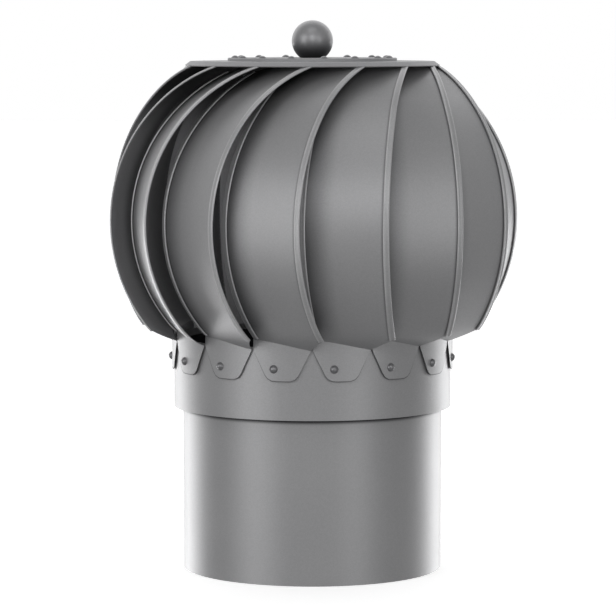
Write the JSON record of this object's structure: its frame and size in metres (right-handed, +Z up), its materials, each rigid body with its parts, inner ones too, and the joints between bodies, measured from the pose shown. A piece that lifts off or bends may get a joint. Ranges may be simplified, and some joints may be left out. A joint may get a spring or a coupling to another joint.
{
  "type": "roof turbine ventilator",
  "caption": "Wind-driven turbine ventilator with a spherical louvred head on a sealed-bearing shaft, over a plain pipe that slips onto a round duct.",
  "frame": {"origin": "centre of the base pipe's open bottom end", "axes": "+Z up along the shaft; -Y faces the viewer"},
  "size_m": [0.3193, 0.3195, 0.427],
  "materials": {
    "pipe_paint": "satin grey powder coat",
    "head_paint": "satin grey powder coat",
    "blade_paint": "satin grey powder coat",
    "knob_paint": "satin grey",
    "rivet_paint": "satin grey powder coat",
    "bright_steel": "bright zinc plated steel",
    "zinc_steel": "bright zinc plated steel",
    "spring_steel": "phosphated spring steel",
    "bearing_steel": "ground bearing steel",
    "cage_steel": "pressed steel",
    "seal_rubber": "black nitrile rubber"
  },
  "bodies": {
    "base": {"base_pipe": "pipe_paint", "bearing_tube": "zinc_steel", "lower_strap_left": "zinc_steel", "lower_strap_right": "zinc_steel", "upper_strap_left": "zinc_steel", "upper_strap_right": "zinc_steel", "strap_bolts": "zinc_steel", "strap_nuts": "zinc_steel", "strap_rivets": "rivet_paint", "lower_tube_ring": "spring_steel", "upper_tube_ring": "spring_steel", "lower_outer_race": "bearing_steel", "upper_outer_race": "bearing_steel", "lower_seals": "seal_rubber", "upper_seals": "seal_rubber"},
    "head": {"blade_01": "blade_paint", "blade_02": "blade_paint", "blade_03": "blade_paint", "blade_04": "blade_paint", "blade_05": "blade_paint", "blade_06": "blade_paint", "blade_07": "blade_paint", "blade_08": "blade_paint", "blade_09": "blade_paint", "blade_10": "blade_paint", "blade_11": "blade_paint", "blade_12": "blade_paint", "blade_13": "blade_paint", "blade_14": "blade_paint", "blade_15": "blade_paint", "collar": "head_paint", "collar_rivets": "rivet_paint", "top_plate": "head_paint", "cover_disc": "head_paint", "crown_rivets": "rivet_paint", "ball_knob": "knob_paint", "shaft": "bright_steel", "hub_flange": "bright_steel", "hub_pin": "bright_steel", "bearing_spacer": "bright_steel", "shaft_ring": "spring_steel", "lower_inner_race": "bearing_steel", "upper_inner_race": "bearing_steel"},
    "lower_cage_set": {"lower_balls": "bearing_steel", "lower_cage": "cage_steel"},
    "upper_cage_set": {"upper_balls": "bearing_steel", "upper_cage": "cage_steel"}
  },
  "joints": [
    {"name": "head_spin", "type": "hinge", "parent": "base", "child": "head", "pos_m": [0, 0, 0.16], "axis": [0, 0, 1], "continuous": true},
    {"name": "lower_cage_spin", "type": "hinge", "parent": "base", "child": "lower_cage_set", "pos_m": [0, 0, 0.138], "axis": [0, 0, 1], "continuous": true},
    {"name": "upper_cage_spin", "type": "hinge", "parent": "base", "child": "upper_cage_set", "pos_m": [0, 0, 0.186], "axis": [0, 0, 1], "continuous": true}
  ],
  "couplings": [
    {"joint": "lower_cage_spin", "follows": "head_spin", "ratio": 0.381},
    {"joint": "upper_cage_spin", "follows": "head_spin", "ratio": 0.381}
  ]
}
